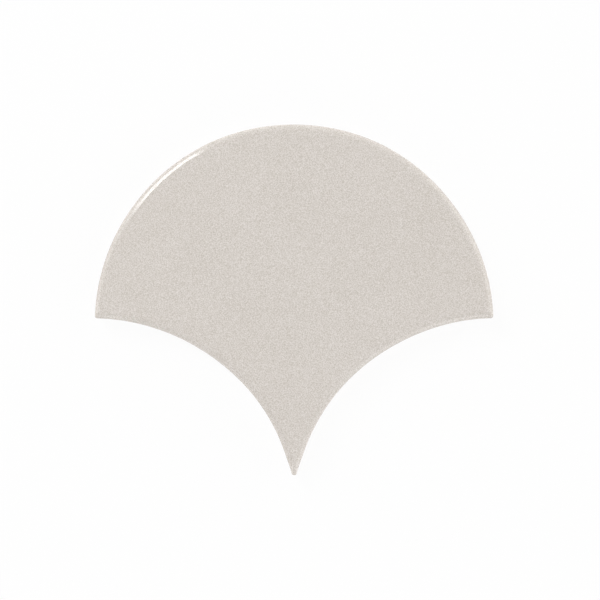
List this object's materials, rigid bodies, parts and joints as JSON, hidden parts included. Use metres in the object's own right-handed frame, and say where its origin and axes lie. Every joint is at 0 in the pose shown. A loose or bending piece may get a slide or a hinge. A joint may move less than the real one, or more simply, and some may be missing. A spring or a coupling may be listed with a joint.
{
  "type": "fish scale tile",
  "caption": "Glazed ceramic wall tile shaped like a fish scale: a round crown, flanks hollowed to nest against neighbours, a pointed tail, a rounded rim and a grooved back.",
  "frame": {"origin": "centre of the crown's circle, on the plane of the back", "axes": "+X along a course of tiles, +Y to the crown, -Y to the tail, +Z out of the glazed face"},
  "size_m": [0.12, 0.106, 0.0083],
  "materials": {
    "glaze": "gloss"
  },
  "bodies": {
    "root": {"fish_scale_tile": "glaze"}
  },
  "joints": []
}
